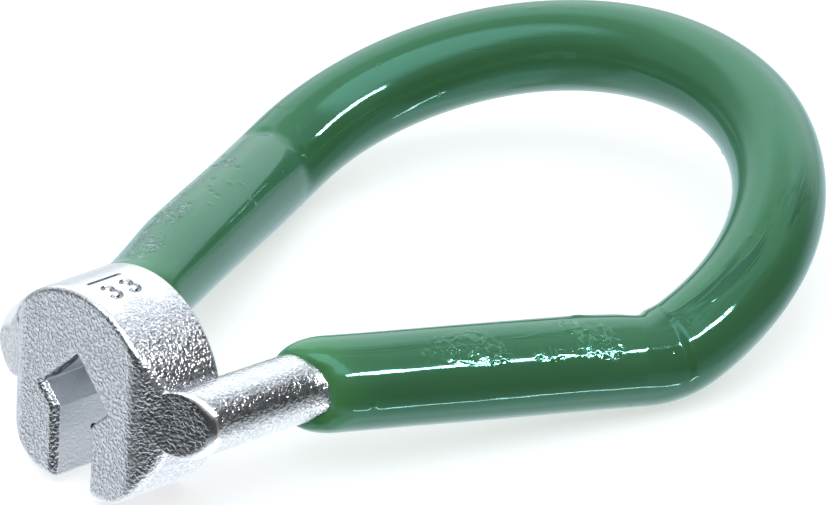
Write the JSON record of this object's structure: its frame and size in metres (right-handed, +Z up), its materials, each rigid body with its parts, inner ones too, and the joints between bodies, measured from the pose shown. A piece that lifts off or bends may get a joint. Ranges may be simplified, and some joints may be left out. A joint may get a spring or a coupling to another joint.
{
  "type": "spoke wrench",
  "caption": "Spoke wrench: a short drum head with a square nipple socket and an open slot, on a bent rod loop with a dipped grip.",
  "frame": {"origin": "centre of the square socket on the head's front face", "axes": "+X along the socket from the front face towards the loop, +Z up and away from the slot's open end, +Y to the left when looking along +X"},
  "size_m": [0.0443, 0.0332, 0.0135],
  "materials": {
    "head_plating": "bright plating over cast grain",
    "rod_plating": "bright plating with fine dimples",
    "grip_vinyl": "glossy dipped vinyl"
  },
  "bodies": {
    "root": {"head": "head_plating", "handle_rod": "rod_plating", "grip_coating": "grip_vinyl"}
  },
  "joints": []
}
